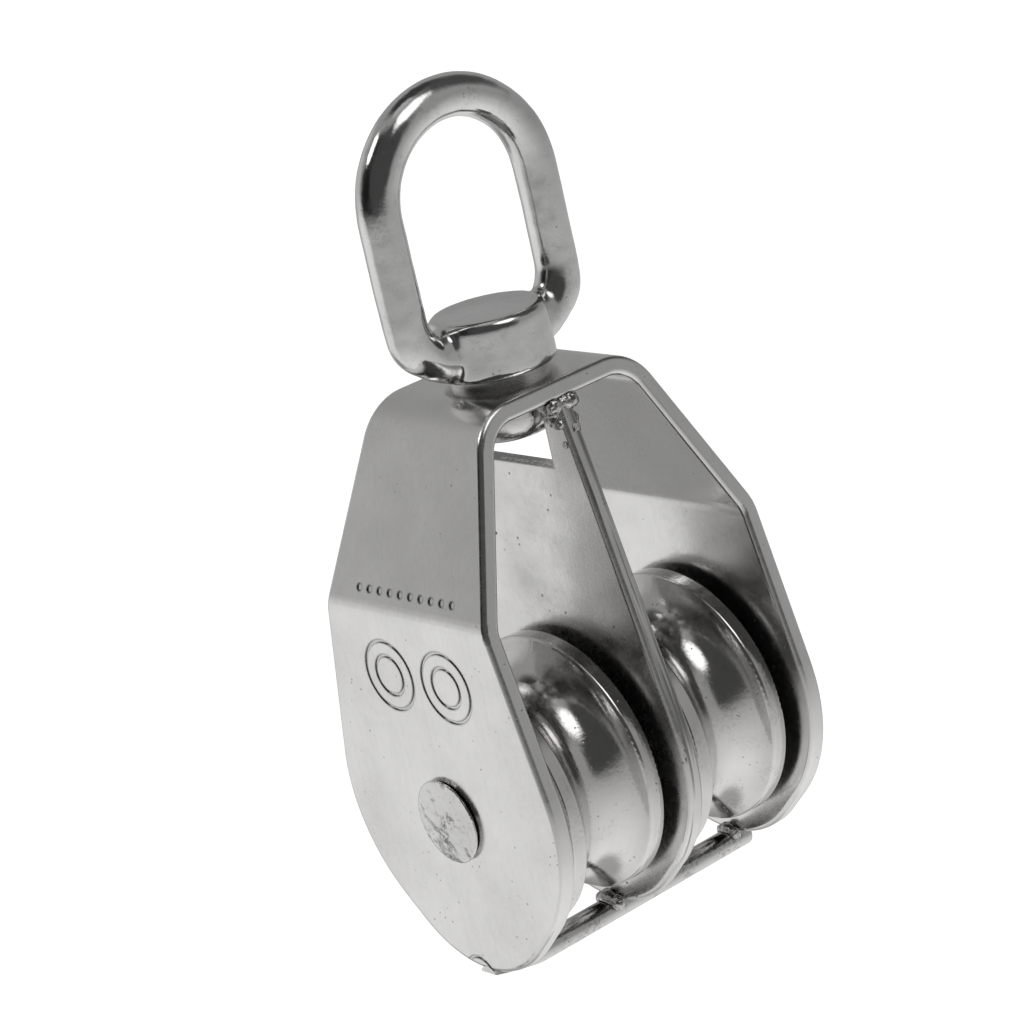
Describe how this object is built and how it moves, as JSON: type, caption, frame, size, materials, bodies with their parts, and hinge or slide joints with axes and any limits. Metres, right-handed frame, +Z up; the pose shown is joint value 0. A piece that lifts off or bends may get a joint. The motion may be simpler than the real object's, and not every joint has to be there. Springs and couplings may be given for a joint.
{
  "type": "double sheave block",
  "caption": "Double sheave block with side-by-side grooved wheels in a bent strip frame, a swivel eye on top and a keeper bar below.",
  "frame": {"origin": "centre of the round top of the eye, where a hook or shackle pulls; the block hangs below it", "axes": "+Z up along the swivel axis, Y along the axle with the marked cheek at -Y, X across the width of the plates; the eye is stored in the YZ plane, as it stands in the picture"},
  "size_m": [0.0384, 0.0442, 0.1039],
  "materials": {
    "frame_steel": "polished stainless steel, softly mirrored",
    "plate_steel": "polished stainless steel with small pits",
    "axle_steel": "polished, hammered rivet heads",
    "bar_steel": "polished rod",
    "eye_steel": "polished cast stainless steel, slightly uneven",
    "pin_steel": "turned and tumbled",
    "washer_steel": "plain stamped steel",
    "sheave_steel": "turned and polished",
    "bush_brass": "plain bearing bronze",
    "weld_metal": "rough tig weld, partly tumbled"
  },
  "bodies": {
    "frame": {"frame": "frame_steel", "middle_plate": "plate_steel", "axle": "axle_steel", "crossbar": "bar_steel", "eye_washer": "washer_steel", "pin_washer": "washer_steel", "front_outer_washer": "washer_steel", "front_inner_washer": "washer_steel", "rear_inner_washer": "washer_steel", "rear_outer_washer": "washer_steel", "near_top_weld": "weld_metal", "far_top_weld": "weld_metal", "front_bar_weld": "weld_metal", "middle_bar_weld": "weld_metal", "rear_bar_weld": "weld_metal"},
    "eye": {"swivel_eye": "eye_steel", "swivel_pin": "pin_steel"},
    "front_sheave": {"front_sheave": "sheave_steel", "front_bush": "bush_brass"},
    "rear_sheave": {"rear_sheave": "sheave_steel", "rear_bush": "bush_brass"}
  },
  "joints": [
    {"name": "eye_swivel", "type": "hinge", "parent": "frame", "child": "eye", "pos_m": [0, 0, 0], "axis": [0, 0, 1], "continuous": true},
    {"name": "front_sheave_spin", "type": "hinge", "parent": "frame", "child": "front_sheave", "pos_m": [0, -0.0095, -0.068], "axis": [0, 1, 0], "continuous": true},
    {"name": "rear_sheave_spin", "type": "hinge", "parent": "frame", "child": "rear_sheave", "pos_m": [0, 0.0104, -0.068], "axis": [0, 1, 0], "continuous": true}
  ]
}
